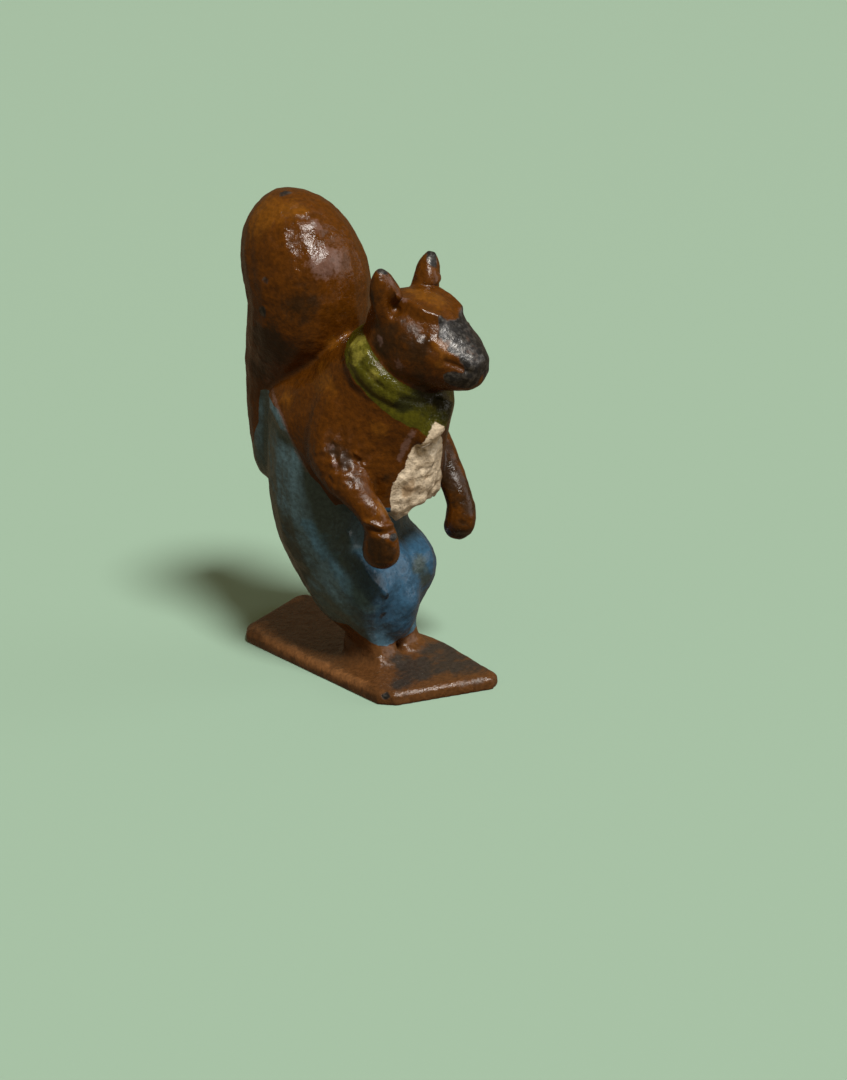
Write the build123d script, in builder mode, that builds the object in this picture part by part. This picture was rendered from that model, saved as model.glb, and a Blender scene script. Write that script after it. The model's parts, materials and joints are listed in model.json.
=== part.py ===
from build123d import *

import os
from math import cos, copysign, radians, sin, tau
from typing import NamedTuple

# A small dressed squirrel, cast in pieces, pinned and soldered together on a flat plate, then painted.
# Millimetres. +Z is up, the squirrel faces -Y and its own left is +X. The origin is under the plate's middle.

# Plate, hand cut: both ends slant, so that the left side is the longer, and it is widest ahead of the middle
PLATE_RIGHT_FRONT = 8.7
PLATE_RIGHT_BACK = 11.4
PLATE_FRONT_SLANT = 4.2
PLATE_BACK_SLANT = 2.9
PLATE_RIGHT = 4.8
PLATE_LEFT = 5.0
PLATE_LEFT_TAPER = 1.4
PLATE_WIDEST = 3.6
PLATE_THICKNESS = 1.1
PLATE_CORNER = 0.9
PLATE_EDGE = 0.35
PLATE_TURN = -11.5

# Feet
HEEL_LENGTH = 3.5
TOE_LENGTH = 2.3
FOOT_WIDTH = 2.8
FOOT_HEIGHT = 1.2
FOOT_TAPER = 10.0
FOOT_FORWARD = 2.6
STANCE = 2.9

# Trousers, with heights above the feet and cuffs that slant up towards the heels
CUFF_SLANT = 24.0
CUFF_WIDTH = 2.6
SHIN_WIDTH = 3.0
KNEE_WIDTH = 5.0
KNEE_HEIGHT = 4.2
THIGH_WIDTH = 5.2
SEAT_WIDTH = 6.4
HIP_WIDTH = 11.4
HIP_HEIGHT = 10.0

# Torso, leaning forward from a slanted waist
WAIST_HEIGHT = 16.5
WAIST_FORWARD = 1.0
LEAN = 37.0
TORSO_LENGTH = 9.0
COAT_WIDTH = 10.8
CHEST_WIDTH = 9.6
COLLAR_WIDTH = 7.4

# Shirt front, a wedge let into the chest with two short tails below the waist
SHIRT_SEAT = 4.6
SHIRT_DEPTH = 5.0
SHIRT_TAIL = 1.4

# Neckerchief, a band slanting down to the throat
SCARF_LEAN = 49.0
SCARF_WIDTH = 9.0
SCARF_HEIGHT = 2.5
SCARF_KNOT = 2.2

# Head, turned a little to its left
HEAD_TURN = 5.0
HEAD_WIDTH = 7.4
BROW_WIDTH = 6.2
MUZZLE_WIDTH = 4.6
NOSE_WIDTH = 1.8
EAR_ROOT_WIDTH = 2.8
EAR_WIDTH = 2.6
EAR_THICKNESS = 1.9
EAR_HOLLOW = 1.0
EYE_WIDTH = 1.0

# Arms
SHOULDER_WIDTH = 2.8
UPPER_ARM_WIDTH = 3.4
ELBOW_WIDTH = 3.2
FOREARM_WIDTH = 2.7
WRIST_WIDTH = 2.1
HAND_WIDTH = 2.4
FINGERTIP_WIDTH = 1.0

# Tail
TAIL_ROOT_WIDTH = 3.2
TAIL_STEM_WIDTH = 6.0
PLUME_WIDTH = 9.6
TAIL_TIP_WIDTH = 1.4

# Wire pins and the solder that closes their holes under the plate
PIN_DIAMETER = 1.0
ARM_PIN_DIAMETER = 0.8
PIN_CLEARANCE = 0.05
ANKLE_PIN_GRIP = 1.6
WAIST_PIN_GRIP = 2.5
NECK_PIN_GRIP = 1.8
TAIL_PIN_GRIP = 1.4
ARM_PIN_GRIP = 0.8
SOLDER_WIDTH = 2.0
SOLDER_DEPTH = 0.45

# Facets round a body, a limb and an ear, and how far a section swells from an ellipse towards a rectangle
BODY_SIDES = 20
LIMB_SIDES = 14
EAR_SIDES = 8
ROUND = 2.0
SQUARISH = 2.7

FOOT_TOP = PLATE_THICKNESS + FOOT_HEIGHT
FEET = Vector(0, 0, FOOT_TOP)
CUFFS = Plane(
    origin=(0, -FOOT_FORWARD, FOOT_TOP),
    x_dir=(1, 0, 0),
    z_dir=(0, -sin(radians(CUFF_SLANT)), cos(radians(CUFF_SLANT))),
)
LEAN_BACK = Vector(0, cos(radians(LEAN)), sin(radians(LEAN)))
LEAN_UP = Vector(0, -sin(radians(LEAN)), cos(radians(LEAN)))
WAIST = Plane(origin=(0, -WAIST_FORWARD, FOOT_TOP + WAIST_HEIGHT), x_dir=(1, 0, 0), z_dir=LEAN_UP)
CHEST = Plane(origin=WAIST.origin - LEAN_BACK * SHIRT_SEAT, x_dir=(1, 0, 0), z_dir=-LEAN_BACK)
NECK = WAIST.offset(TORSO_LENGTH)
SCARF = Plane(
    origin=NECK.origin,
    x_dir=(1, 0, 0),
    z_dir=(0, -sin(radians(SCARF_LEAN)), cos(radians(SCARF_LEAN))),
)
RIGHT, LEFT = -1, 1


class Station(NamedTuple):
    """One section of a form: its centre, its width, and its reach on the belly side and on the spine side."""

    x: float
    y: float
    z: float
    width: float
    front: float
    back: float


def ring(x, y, z, width):
    return Station(x, y, z, width, width / 2, width / 2)


def egg(plane, width, front, back, shift=0.0, fullness=ROUND, sides=BODY_SIDES):
    """A closed section on a plane, with its own reach towards the front and the back."""
    points = []
    for k in range(sides):
        turn = tau * k / sides
        across = copysign(abs(cos(turn)) ** (2 / fullness), cos(turn))
        along = copysign(abs(sin(turn)) ** (2 / fullness), sin(turn))
        reach = back if along > 0 else front
        points.append((width / 2 * across, shift + reach * along))
    with BuildSketch(plane) as section:
        with BuildLine():
            Polyline(*points, close=True)
        make_face()
    return section.sketch


def limb(stations, start, side=LEFT, sides=LIMB_SIDES, fullness=ROUND):
    """Sections square to the line through the stations, which are measured from a start point."""
    centres = [start + Vector(side * s.x, s.y, s.z) for s in stations]
    before = [centres[0], *centres[:-1]]
    after = [*centres[1:], centres[-1]]
    sections = []
    for station, centre, last, following in zip(stations, centres, before, after):
        plane = Plane(origin=centre, x_dir=(1, 0, 0), z_dir=following - last)
        reach = (station.front, station.back)
        sections.append(egg(plane, station.width, *reach, fullness=fullness, sides=sides))
    return sections


def on_chest(across, up, out):
    """A point measured from the waist: across the chest, up the leaning body and out towards the front."""
    return Vector(across, 0, 0) + LEAN_UP * up - LEAN_BACK * out


def pin(plane, diameter, grip):
    """A wire pin that reaches as far to each side of a joint, short of its holes' ends."""
    with BuildPart() as wire:
        with Locations(plane):
            Cylinder(diameter / 2, 2 * (grip - PIN_CLEARANCE))
    return wire.part


def pin_hole(plane, diameter, grip):
    with BuildPart() as hole:
        with Locations(plane):
            Cylinder(diameter / 2 + PIN_CLEARANCE, 2 * grip)
    return hole.part


# Hips, from the seat up to the slanted waist, where they are cut off
HIPS = [
    Station(0, -1.2, 2.2, 3.0, 1.2, 1.8),
    Station(0, -0.6, 3.7, SEAT_WIDTH, 2.8, 3.5),
    Station(0, 0.2, 6.7, 9.8, 4.2, 4.6),
    Station(0, 0.6, HIP_HEIGHT, HIP_WIDTH, 4.4, 5.4),
    Station(0, 0.6, WAIST_HEIGHT - 2.8, HIP_WIDTH, 6.0, 5.8),
    Station(0, 0.2, WAIST_HEIGHT + 0.7, 10.4, 6.0, 6.2),
    Station(0, -0.2, WAIST_HEIGHT + 5.2, 8.4, 5.0, 6.0),
]
RUMP = HIPS[4]
SEAT_BACK = RUMP.y + RUMP.back

# A bent leg, from the cuff up into the hip
LEG = [
    Station(STANCE / 2, -FOOT_FORWARD, -1.2, CUFF_WIDTH, 1.5, 1.9),
    Station(STANCE / 2, 0.1 - FOOT_FORWARD, 1.1, SHIN_WIDTH, 1.3, 2.5),
    Station(STANCE / 2 + 0.2, 0.2 - FOOT_FORWARD, KNEE_HEIGHT - 1.8, 3.7, 1.9, 3.0),
    Station(STANCE / 2 + 0.5, -2.0, KNEE_HEIGHT, KNEE_WIDTH, 3.7, 3.6),
    Station(STANCE / 2 + 0.9, -1.0, KNEE_HEIGHT + 2.2, THIGH_WIDTH, 3.7, 3.8),
    Station(STANCE / 2 + 1.2, 0.2, KNEE_HEIGHT + 4.8, THIGH_WIDTH, 3.4, 3.8),
]

# Arms, from the fingertips up into the shoulder, with their distance from the middle tied to the coat's side
SIDE = COAT_WIDTH / 2
RIGHT_ARM = [
    ring(SIDE - 0.6, -5.3, -7.5, FINGERTIP_WIDTH),
    Station(SIDE - 0.4, -6.6, -5.6, HAND_WIDTH, 1.5, 1.3),
    ring(SIDE - 0.2, -6.2, -3.6, WRIST_WIDTH),
    ring(SIDE - 0.1, -4.6, -1.8, FOREARM_WIDTH),
    Station(SIDE - 0.4, -2.6, 0.0, ELBOW_WIDTH, 1.9, 1.8),
    Station(SIDE - 1.2, -2.2, 2.4, UPPER_ARM_WIDTH, 2.1, 2.1),
    ring(SIDE - 2.9, -3.0, 4.6, SHOULDER_WIDTH),
]
LEFT_ARM = [
    ring(SIDE - 1.5, -6.1, -8.5, FINGERTIP_WIDTH),
    ring(SIDE - 1.3, -6.8, -6.6, HAND_WIDTH),
    ring(SIDE - 1.0, -6.3, -4.6, WRIST_WIDTH),
    ring(SIDE - 0.7, -4.8, -2.4, FOREARM_WIDTH),
    ring(SIDE - 0.5, -3.2, -0.2, ELBOW_WIDTH),
    Station(SIDE - 1.2, -2.4, 2.4, UPPER_ARM_WIDTH, 1.9, 1.9),
    ring(SIDE - 2.9, -3.0, 4.6, SHOULDER_WIDTH),
]

# Tail, from its root behind the seat up to the tip of the plume
TAIL = [
    ring(0, SEAT_BACK - 2.2, WAIST_HEIGHT - 6.4, TAIL_ROOT_WIDTH),
    ring(0, SEAT_BACK - 0.5, WAIST_HEIGHT - 3.2, 5.0),
    ring(0, SEAT_BACK - 0.4, WAIST_HEIGHT + 1.2, TAIL_STEM_WIDTH),
    ring(0, SEAT_BACK - 1.2, WAIST_HEIGHT + 5.2, 6.6),
    ring(0, SEAT_BACK - 3.8, WAIST_HEIGHT + 8.9, 9.2),
    ring(0, SEAT_BACK - 4.5, WAIST_HEIGHT + 12.6, PLUME_WIDTH),
    ring(0, SEAT_BACK - 3.6, WAIST_HEIGHT + 15.6, 8.4),
    ring(0, SEAT_BACK - 3.2, WAIST_HEIGHT + 17.5, 6.2),
    ring(0, SEAT_BACK - 3.1, WAIST_HEIGHT + 18.65, 3.4),
    ring(0, SEAT_BACK - 3.1, WAIST_HEIGHT + 19.05, TAIL_TIP_WIDTH),
]

# Head, from the nape to the nose, where front is the throat side and back the crown side
HEAD = [
    ring(0, 1.5, 2.3, 2.4),
    Station(0, 0.6, 2.2, 5.2, 2.7, 2.6),
    Station(0, -0.8, 1.8, 7.0, 3.7, 3.4),
    Station(0, -2.5, 1.1, HEAD_WIDTH, 3.9, 3.7),
    Station(0, -4.4, 0.4, BROW_WIDTH, 3.1, 3.0),
    Station(0, -5.8, -0.1, MUZZLE_WIDTH, 2.3, 2.1),
    Station(0, -6.9, -0.5, 3.4, 1.8, 1.5),
    Station(0, -7.6, -0.7, NOSE_WIDTH, 0.9, 0.8),
]
EAR = [
    Station(1.7, -1.2, 2.8, EAR_ROOT_WIDTH, EAR_THICKNESS, EAR_THICKNESS / 2),
    Station(2.5, -1.4, 4.6, EAR_WIDTH, EAR_THICKNESS / 2, EAR_THICKNESS / 2),
    Station(3.0, -1.6, 6.2, 1.6, 0.6, 0.6),
    ring(3.2, -1.7, 7.0, 0.6),
]
EAR_SCOOP = [
    ring(2.4, -2.1, 3.6, EAR_HOLLOW),
    ring(2.7, -2.2, 5.0, EAR_HOLLOW),
    ring(3.0, -2.2, 6.5, 0.3),
]
EYE_PLACE = Vector(2.35, -4.75, 1.95)

# Neckerchief's loose end, from the knot at the throat down the right of the shirt front
SCARF_END = [
    ring(*on_chest(0.4, TORSO_LENGTH - 0.4, 4.7), SCARF_KNOT),
    ring(*on_chest(-0.2, TORSO_LENGTH - 1.4, 5.4), SCARF_KNOT),
    ring(*on_chest(-1.1, TORSO_LENGTH - 2.4, 5.9), 1.6),
    ring(*on_chest(-1.8, TORSO_LENGTH - 3.1, 6.0), 0.8),
]

# Shirt front's edge on the chest: across the chest, and up it from the waist
SHIRT_EDGE = [
    (0.0, TORSO_LENGTH - 1.2),
    (0.9, TORSO_LENGTH - 1.4),
    (1.0, 3.6),
    (1.9, 1.8),
    (COAT_WIDTH / 2 - 2.1, 0.5),
    (COAT_WIDTH / 2 - 2.2, -0.5),
    (1.6, 0.0),
    (-0.2, 0.3),
    (-1.6, -SHIRT_TAIL),
    (-2.7, 0.7),
    (-3.0, 2.4),
    (-2.4, 4.2),
    (-1.4, 6.0),
]

# Pin places
ANKLES = [(side * STANCE / 2, -FOOT_FORWARD) for side in (RIGHT, LEFT)]
ANKLE_JOINTS = [Plane(origin=(x, y, FOOT_TOP)) for x, y in ANKLES]
TAIL_JOINT = Plane(origin=FEET + Vector(0, SEAT_BACK, RUMP.z), x_dir=(1, 0, 0), z_dir=(0, 1, 0))
ARM_JOINTS = [
    Plane(origin=WAIST.origin + Vector(side * (SIDE - 0.4), -2.5, 1.0), x_dir=(0, 1, 0), z_dir=(1, 0, 0))
    for side in (RIGHT, LEFT)
]

os.makedirs("parts", exist_ok=True)

# Base plate
with BuildPart() as base_plate:
    with BuildSketch(Plane.XY.rotated((0, 0, PLATE_TURN))) as plate_outline:
        with BuildLine():
            Polyline(
                (-PLATE_RIGHT, PLATE_RIGHT_BACK),
                (PLATE_LEFT - PLATE_LEFT_TAPER, PLATE_RIGHT_BACK + PLATE_BACK_SLANT),
                (PLATE_LEFT, -PLATE_WIDEST),
                (PLATE_LEFT - PLATE_LEFT_TAPER, -PLATE_RIGHT_FRONT - PLATE_FRONT_SLANT),
                (-PLATE_RIGHT, -PLATE_RIGHT_FRONT),
                close=True,
            )
        make_face()
        chamfer(plate_outline.vertices(), PLATE_CORNER)
    extrude(amount=PLATE_THICKNESS)
    chamfer(base_plate.faces().sort_by(Axis.Z)[-1].edges(), PLATE_EDGE)
    with Locations(*ANKLES):
        Cylinder(
            PIN_DIAMETER / 2 + PIN_CLEARANCE,
            PLATE_THICKNESS,
            align=(Align.CENTER, Align.CENTER, Align.MIN),
            mode=Mode.SUBTRACT,
        )
        Cone(
            SOLDER_WIDTH / 2,
            PIN_DIAMETER / 2 + PIN_CLEARANCE,
            SOLDER_DEPTH,
            align=(Align.CENTER, Align.CENTER, Align.MIN),
            mode=Mode.SUBTRACT,
        )


# Feet
def foot(place):
    sole = Plane(origin=(*place, PLATE_THICKNESS))
    with BuildPart() as wedge:
        add(egg(sole, FOOT_WIDTH, TOE_LENGTH, HEEL_LENGTH, fullness=SQUARISH, sides=LIMB_SIDES))
        extrude(amount=FOOT_HEIGHT + HEEL_LENGTH, taper=FOOT_TAPER)
        split(bisect_by=CUFFS, keep=Keep.BOTTOM)
        with Locations(sole):
            Hole(PIN_DIAMETER / 2 + PIN_CLEARANCE)
    return wedge


right_foot = foot(ANKLES[0])
left_foot = foot(ANKLES[1])

# Trousers
with BuildPart() as trousers:
    loft(limb(HIPS, FEET, sides=BODY_SIDES))
    for side in (RIGHT, LEFT):
        loft(limb(LEG, FEET, side, fullness=SQUARISH))
    split(bisect_by=WAIST, keep=Keep.BOTTOM)
    split(bisect_by=CUFFS, keep=Keep.TOP)
    add(pin_hole(WAIST, PIN_DIAMETER, WAIST_PIN_GRIP), mode=Mode.SUBTRACT)
    add(pin_hole(TAIL_JOINT, PIN_DIAMETER, TAIL_PIN_GRIP), mode=Mode.SUBTRACT)
    for joint in ANKLE_JOINTS:
        add(pin_hole(joint, PIN_DIAMETER, ANKLE_PIN_GRIP), mode=Mode.SUBTRACT)

# Coat: the whole chest and back before the shirt front is let in
with BuildPart() as coat:
    loft(
        [
            egg(WAIST.offset(-SHIRT_TAIL), COAT_WIDTH - 0.3, 7.6, 7.2, fullness=SQUARISH),
            egg(WAIST, COAT_WIDTH, 7.8, 7.4, fullness=SQUARISH),
            egg(WAIST.offset(2.8), COAT_WIDTH, 7.2, 6.6, -0.2),
            egg(WAIST.offset(5.8), CHEST_WIDTH, 6.0, 5.2, -0.4),
            egg(NECK, COLLAR_WIDTH, 4.4, 3.4, -0.4),
        ]
    )

# Shirt front
with BuildPart() as shirt_front:
    with BuildSketch(CHEST):
        with BuildLine():
            Polyline(*SHIRT_EDGE, close=True)
        make_face()
    extrude(amount=SHIRT_DEPTH)
    add(coat.part, mode=Mode.INTERSECT)
    add(trousers.part, mode=Mode.SUBTRACT)

# Torso
with BuildPart() as torso:
    add(coat.part)
    split(bisect_by=WAIST, keep=Keep.TOP)
    add(shirt_front.part, mode=Mode.SUBTRACT)
    add(pin_hole(WAIST, PIN_DIAMETER, WAIST_PIN_GRIP), mode=Mode.SUBTRACT)
    add(pin_hole(NECK, PIN_DIAMETER, NECK_PIN_GRIP), mode=Mode.SUBTRACT)
    for joint in ARM_JOINTS:
        add(pin_hole(joint, ARM_PIN_DIAMETER, ARM_PIN_GRIP), mode=Mode.SUBTRACT)

# Head, with hollow ears and round eyes
with BuildPart() as straight_head:
    loft(limb(HEAD, NECK.origin, sides=BODY_SIDES))
    for side in (RIGHT, LEFT):
        loft(limb(EAR, NECK.origin, side, EAR_SIDES))
        loft(limb(EAR_SCOOP, NECK.origin, side, EAR_SIDES), mode=Mode.SUBTRACT)
        with Locations(NECK.origin + Vector(side * EYE_PLACE.X, EYE_PLACE.Y, EYE_PLACE.Z)):
            Sphere(EYE_WIDTH / 2)
with BuildPart() as head:
    add(straight_head.part.rotate(Axis(NECK.origin, (0, 0, 1)), HEAD_TURN))
    split(bisect_by=NECK, keep=Keep.TOP)
    add(pin_hole(NECK, PIN_DIAMETER, NECK_PIN_GRIP), mode=Mode.SUBTRACT)


# Arms, seated against the coat, the shirt front and the trousers
def arm(stations, side, joint):
    with BuildPart() as sleeve:
        loft(limb(stations, WAIST.origin, side))
        for neighbour in (torso, shirt_front, trousers):
            add(neighbour.part, mode=Mode.SUBTRACT)
        add(pin_hole(joint, ARM_PIN_DIAMETER, ARM_PIN_GRIP), mode=Mode.SUBTRACT)
    return sleeve


right_arm = arm(RIGHT_ARM, RIGHT, ARM_JOINTS[0])
left_arm = arm(LEFT_ARM, LEFT, ARM_JOINTS[1])

# Neckerchief, closed round the neck joint, with a knot at the throat
with BuildPart() as neckerchief:
    loft(
        [
            egg(SCARF.offset(-SCARF_HEIGHT / 2), SCARF_WIDTH - 0.2, 5.0, 3.8, -0.4),
            egg(SCARF, SCARF_WIDTH, 5.0, 3.6, -0.4),
            egg(SCARF.offset(SCARF_HEIGHT / 2), SCARF_WIDTH - 1.2, 3.9, 2.9, -0.4),
        ]
    )
    loft(limb(SCARF_END, WAIST.origin))
    for neighbour in (torso, shirt_front, head, right_arm, left_arm):
        add(neighbour.part, mode=Mode.SUBTRACT)
    add(pin_hole(NECK, PIN_DIAMETER, NECK_PIN_GRIP), mode=Mode.SUBTRACT)

# Tail
with BuildPart() as tail:
    loft(limb(TAIL, FEET, sides=BODY_SIDES))
    for neighbour in (trousers, torso):
        add(neighbour.part, mode=Mode.SUBTRACT)
    add(pin_hole(TAIL_JOINT, PIN_DIAMETER, TAIL_PIN_GRIP), mode=Mode.SUBTRACT)

# Wire pins
neck_pin = pin(NECK, PIN_DIAMETER, NECK_PIN_GRIP)
waist_pin = pin(WAIST, PIN_DIAMETER, WAIST_PIN_GRIP)
tail_pin = pin(TAIL_JOINT, PIN_DIAMETER, TAIL_PIN_GRIP)
with BuildPart() as arm_pins:
    for joint in ARM_JOINTS:
        add(pin(joint, ARM_PIN_DIAMETER, ARM_PIN_GRIP))

# Ankle pins stand on the solder, pass through the plate and the feet, and end inside the legs
with BuildPart() as ankle_pins:
    with BuildSketch(Plane.XY.offset(SOLDER_DEPTH)):
        with Locations(*ANKLES):
            Circle(PIN_DIAMETER / 2)
    extrude(amount=FOOT_TOP + ANKLE_PIN_GRIP - PIN_CLEARANCE - SOLDER_DEPTH)

# Solder, flush with the plate's underside
with BuildPart() as solder_plugs:
    with Locations(*ANKLES):
        Cone(
            SOLDER_WIDTH / 2,
            PIN_DIAMETER / 2 + PIN_CLEARANCE,
            SOLDER_DEPTH,
            align=(Align.CENTER, Align.CENTER, Align.MIN),
        )

PIECES = {
    "base_plate": base_plate.part,
    "right_foot": right_foot.part,
    "left_foot": left_foot.part,
    "trousers": trousers.part,
    "torso": torso.part,
    "shirt_front": shirt_front.part,
    "neckerchief": neckerchief.part,
    "head": head.part,
    "right_arm": right_arm.part,
    "left_arm": left_arm.part,
    "tail": tail.part,
    "neck_pin": neck_pin,
    "waist_pin": waist_pin,
    "tail_pin": tail_pin,
    "arm_pins": arm_pins.part,
    "ankle_pins": ankle_pins.part,
    "solder_plugs": solder_plugs.part,
}
for name, piece in PIECES.items():
    piece.label = name
    export_step(piece, f"parts/{name}.step")
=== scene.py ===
import json
from math import cos, radians, sin

import bmesh
import bpy
import numpy as np
from mathutils import Matrix, Quaternion, Vector, noise
from mathutils.bvhtree import BVHTree


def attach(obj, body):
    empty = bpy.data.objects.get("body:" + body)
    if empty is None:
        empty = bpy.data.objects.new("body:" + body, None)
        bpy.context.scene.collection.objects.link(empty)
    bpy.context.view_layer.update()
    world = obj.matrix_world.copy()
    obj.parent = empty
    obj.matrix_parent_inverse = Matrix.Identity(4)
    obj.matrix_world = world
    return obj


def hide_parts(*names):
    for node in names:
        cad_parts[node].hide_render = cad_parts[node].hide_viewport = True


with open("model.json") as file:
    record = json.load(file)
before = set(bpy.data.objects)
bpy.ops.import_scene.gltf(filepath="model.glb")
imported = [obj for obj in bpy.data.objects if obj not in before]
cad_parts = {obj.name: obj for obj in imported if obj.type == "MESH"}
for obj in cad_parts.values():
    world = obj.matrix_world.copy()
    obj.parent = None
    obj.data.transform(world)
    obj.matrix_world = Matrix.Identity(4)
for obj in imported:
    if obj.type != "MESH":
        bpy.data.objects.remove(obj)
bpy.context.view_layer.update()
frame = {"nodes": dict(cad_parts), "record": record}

# A small cast squirrel in worn gloss paint. Its skin is worked in millimetres and written in metres.
MM = 0.001
VOXEL = 0.13
MERGE = 0.001

# Smoothing: rounds and passes that fill creases, the shallowest one filled, and the softening after them
CREASE_ROUNDS = 4
CREASE_PASSES = 10
CREASE_LEAST = 0.003
SOFTEN_PASSES = 4
SMOOTH_STEP = 0.5
# The nearness that still counts as within a spot's reach
WITHIN_REACH = 0.37

# Seams: how far castings shade over into each other, how smooth a seam runs and how deep a piece closes
SEAM_PASSES = 18
SEAM_LINE_PASSES = 8
SEAM_STEP = 0.4
CONE_DEPTH = 0.5

# The pieces under the paint, and the pins inside them
CASTINGS = [
    "base_plate", "right_foot", "left_foot", "trousers", "torso", "shirt_front",
    "neckerchief", "head", "right_arm", "left_arm", "tail", "solder_plugs",
]
PINS = ["neck_pin", "waist_pin", "tail_pin", "arm_pins", "ankle_pins"]

# Camera, from the photograph
CAMERA_PLACE = Vector((-95.9, -93.7, 58.4)) * MM
CAMERA_AIM = Vector((0.6983, 0.6288, -0.3420))
CAMERA_ROLL = -5.5
CAMERA_LENS = 60.0
CAMERA_SENSOR = 36.0
CAMERA_CLIP = (0.01, 20.0)

# The leaning body: the waist's middle, and the ways up it and out of its chest
LEAN = radians(37.0)
TORSO_LENGTH = 9.0
WAIST = np.array((0.0, -1.0, 18.8))
UP = np.array((0.0, -sin(LEAN), cos(LEAN)))
OUT = np.array((0.0, -cos(LEAN), -sin(LEAN)))
NECK = WAIST + TORSO_LENGTH * UP

# The neckerchief: its slant, and how far its paint reaches below the neck
SCARF_LEAN = radians(49.0)
SCARF_UP = np.array((0.0, -sin(SCARF_LEAN), cos(SCARF_LEAN)))
SCARF_LOW = -0.8

# The head's middle plane: a point on it and how far the nose is turned
HEAD_MIDDLE = Vector((0.0, -6.4, 26.0))
HEAD_TURN = radians(5.0)

# Paint edges: their brushed width, and the coat's lower edge as places from front to back and heights
BRUSH = 0.7
COAT_EDGE = [
    (-2.8, 15.0), (-2.0, 16.7), (-1.05, 17.8), (-0.15, 19.2), (0.76, 21.1), (1.8, 22.0), (4.2, 22.9),
    (6.0, 23.6),
]
# The trousers' hem: its height and slope, and its highest point
HEM = (6.8, 1.13)
HEM_HIGHEST = 4.7
# The blue on the tail: heights and how far back it runs, and half the width of the middle left brown
TAIL_EDGE = [
    (15.0, 8.6), (17.4, 7.4), (19.4, 6.5), (20.2, 6.0), (21.9, 5.7), (22.8, 5.3), (23.4, -20.0),
]
TAIL_MIDDLE = 1.2
# The brighter blue of the trousers' front: where it begins and how far on it is full
FRONT_BLUE = (-2.6, 2.0)

# The shirt front: how far out of the chest it lies, and its outline across the chest and up from the waist
SHIRT_OUT = 3.0
SHIRT_OUTLINE = [
    (-1.0, 7.9), (-0.4, 7.7), (0.7, 5.8), (1.4, 4.2), (1.5, 3.0), (2.4, 1.9), (3.4, 1.0), (3.3, -0.4),
    (1.6, 0.0), (-0.2, 0.3), (-1.2, -1.0), (-1.9, -1.6), (-2.6, -0.6), (-2.95, 0.9), (-3.1, 1.9),
    (-3.05, 2.6), (-2.7, 3.3), (-2.3, 3.7), (-2.25, 4.5), (-2.0, 5.6), (-1.75, 6.6), (-1.5, 7.2),
]

# Metal that fills the gap between the knees: centre and reach each way
KNEE_WEB = ((-0.1, -3.2, 6.9), (2.7, 2.5, 4.5))

# Lumps and dents of the casting: place, reach and height
LUMPS = [
    ((-5.6, -4.7, 20.2), 1.2, 0.12),
    ((-5.0, -5.6, 20.3), 0.9, 0.14),
    ((-5.0, -8.9, 13.7), 0.5, 0.14),
    ((-5.2, -8.1, 15.6), 0.8, 0.12),
    ((-2.4, -5.6, 7.4), 1.0, 0.14),
    ((2.1, -5.4, 7.2), 1.0, 0.12),
    ((-1.4, -0.9, 35.5), 1.1, 0.12),
    ((-2.2, -1.9, 33.0), 1.3, 0.14),
    ((-1.3, -1.6, 34.7), 0.9, -0.18),
    ((0.1, -4.1, 6.1), 0.45, 0.25),
    ((0.6, -4.8, 6.9), 0.45, 0.22),
    ((-3.9, -1.0, 30.5), 1.4, -0.14),
    ((-4.6, 1.6, 32.0), 1.2, 0.10),
    ((-4.3, -6.7, 18.3), 0.9, 0.35),
    ((-4.6, -5.9, 19.8), 0.9, 0.30),
    ((-4.4, -5.2, 21.3), 0.9, 0.25),
    ((3.2, -8.2, 10.6), 0.8, -0.32),
    ((-0.3, -5.3, 6.0), 1.0, 0.35),
    ((-2.75, -8.1, 32.2), 0.8, 0.28),
    ((2.9, -7.8, 32.0), 0.8, 0.28),
]
# The same on one side of the face, repeated on the other
FACE_LUMPS = [
    ((-2.27, -11.5, 28.3), 0.45, -0.26),
    ((-3.2, -9.6, 26.3), 1.10, 0.14),
    ((-1.6, -12.5, 26.9), 0.70, 0.12),
    ((-2.2, -11.9, 27.3), 0.55, -0.10),
    ((-1.1, -12.8, 24.9), 0.60, 0.14),
    ((-2.1, -8.6, 31.3), 0.70, 0.25),
]

# Ridges and grooves along a line: points, reach and height
LINES = [
    ([(-3.5, -2.8, 12.3), (-3.4, -3.5, 10.7), (-3.7, -4.8, 9.2), (-2.9, -5.4, 7.8)], 0.32, 0.34),
    ([(-4.4, -2.0, 12.0), (-4.5, -2.9, 9.6), (-4.2, -3.9, 7.6)], 0.70, -0.16),
    ([(-6.2, -7.3, 15.1), (-5.8, -8.4, 14.55), (-4.7, -8.7, 14.5)], 0.22, 0.22),
    ([(-6.1, -7.7, 14.5), (-5.8, -8.6, 14.05), (-4.8, -8.9, 14.0)], 0.20, -0.16),
    ([(-5.5, -9.0, 13.3), (-5.6, -8.5, 12.0)], 0.15, -0.12),
    ([(-6.1, -8.4, 13.3), (-6.0, -8.0, 12.0)], 0.15, -0.12),
    ([(-4.9, -9.0, 13.3), (-5.1, -8.4, 12.1)], 0.15, -0.10),
    ([(2.6, -8.4, 12.1), (3.2, -8.65, 11.9), (4.2, -8.8, 11.9)], 0.20, -0.12),
]
# The same on one side of the face, repeated on the other
FACE_LINES = [
    ([(-2.5, -8.5, 31.4), (-1.95, -8.75, 30.8), (-1.6, -9.3, 30.4),
      (-1.45, -10.7, 29.75), (-0.9, -11.5, 29.3)], 0.38, 0.4),
    ([(-2.6, -9.6, 29.9), (-2.2, -11.0, 29.0), (-1.4, -12.0, 28.3)], 0.6, -0.06),
    ([(-1.65, -12.6, 26.4), (-1.2, -13.3, 26.0), (-0.6, -13.9, 25.4)], 0.22, -0.18),
]
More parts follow.
